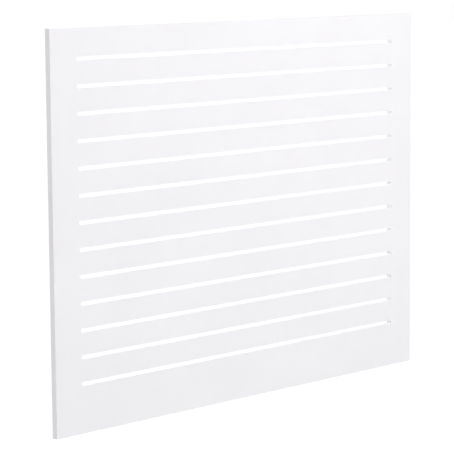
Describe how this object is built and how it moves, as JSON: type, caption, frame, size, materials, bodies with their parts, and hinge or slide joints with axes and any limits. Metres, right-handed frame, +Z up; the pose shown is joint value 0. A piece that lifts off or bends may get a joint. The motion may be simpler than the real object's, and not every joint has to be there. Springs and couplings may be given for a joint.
{
  "type": "slotted radiator cover panel",
  "caption": "Flat white slotted board that hangs in front of a panel radiator on sliding steel hooks, with rubber-tipped sliding spacers at its foot.",
  "frame": {"origin": "the hang point: midway between the two hook seats, on the plane that they rest on", "axes": "+Z up, +X along the board's width to the right as seen from the room, +Y from the board towards the radiator"},
  "size_m": [0.8, 0.082, 0.6],
  "materials": {
    "white_lacquer": "white satin lacquer on fine fibreboard",
    "zinc_plate": "bright zinc-plated strip steel",
    "screw_zinc": "zinc-plated screw",
    "bolt_zinc": "zinc-plated bolt and washer",
    "cast_zinc": "zinc-plated cast wing nut",
    "black_rubber": "matt black rubber"
  },
  "bodies": {
    "cover": {"slotted_panel": "white_lacquer", "top_left_bracket": "zinc_plate", "top_left_bracket_screw_a": "screw_zinc", "top_left_bracket_screw_b": "screw_zinc", "top_left_clamp_bolt": "bolt_zinc", "top_left_washer": "bolt_zinc", "top_right_bracket": "zinc_plate", "top_right_bracket_screw_a": "screw_zinc", "top_right_bracket_screw_b": "screw_zinc", "top_right_clamp_bolt": "bolt_zinc", "top_right_washer": "bolt_zinc", "bottom_left_bracket": "zinc_plate", "bottom_left_bracket_screw_a": "screw_zinc", "bottom_left_bracket_screw_b": "screw_zinc", "bottom_left_clamp_bolt": "bolt_zinc", "bottom_left_washer": "bolt_zinc", "bottom_right_bracket": "zinc_plate", "bottom_right_bracket_screw_a": "screw_zinc", "bottom_right_bracket_screw_b": "screw_zinc", "bottom_right_clamp_bolt": "bolt_zinc", "bottom_right_washer": "bolt_zinc"},
    "hook_left": {"hook_strap_left": "zinc_plate", "hook_pad_left": "black_rubber"},
    "hook_right": {"hook_strap_right": "zinc_plate", "hook_pad_right": "black_rubber"},
    "spacer_left": {"spacer_strap_left": "zinc_plate", "bumper_left": "black_rubber"},
    "spacer_right": {"spacer_strap_right": "zinc_plate", "bumper_right": "black_rubber"},
    "wing_nut_top_left": {"top_left_wing_nut": "cast_zinc"},
    "wing_nut_top_right": {"top_right_wing_nut": "cast_zinc"},
    "wing_nut_bottom_left": {"bottom_left_wing_nut": "cast_zinc"},
    "wing_nut_bottom_right": {"bottom_right_wing_nut": "cast_zinc"}
  },
  "joints": [
    {"name": "hook_slide_left", "type": "slide", "parent": "cover", "child": "hook_left", "axis": [0, 1, 0], "range_m": [-0.01, 0.01]},
    {"name": "hook_slide_right", "type": "slide", "parent": "cover", "child": "hook_right", "axis": [0, 1, 0], "range_m": [-0.01, 0.01]},
    {"name": "spacer_slide_left", "type": "slide", "parent": "cover", "child": "spacer_left", "axis": [0, 1, 0], "range_m": [-0.01, 0.01]},
    {"name": "spacer_slide_right", "type": "slide", "parent": "cover", "child": "spacer_right", "axis": [0, 1, 0], "range_m": [-0.01, 0.01]},
    {"name": "wing_nut_turn_top_left", "type": "hinge", "parent": "cover", "child": "wing_nut_top_left", "pos_m": [-0.28, -0.0332, 0.005], "axis": [0, 0, 1], "range_deg": [0, 450]},
    {"name": "wing_nut_turn_top_right", "type": "hinge", "parent": "cover", "child": "wing_nut_top_right", "pos_m": [0.28, -0.0332, 0.005], "axis": [0, 0, 1], "range_deg": [0, 450]},
    {"name": "wing_nut_turn_bottom_left", "type": "hinge", "parent": "cover", "child": "wing_nut_bottom_left", "pos_m": [-0.28, -0.0332, -0.535], "axis": [0, 0, 1], "range_deg": [0, 450]},
    {"name": "wing_nut_turn_bottom_right", "type": "hinge", "parent": "cover", "child": "wing_nut_bottom_right", "pos_m": [0.28, -0.0332, -0.535], "axis": [0, 0, 1], "range_deg": [0, 450]}
  ]
}
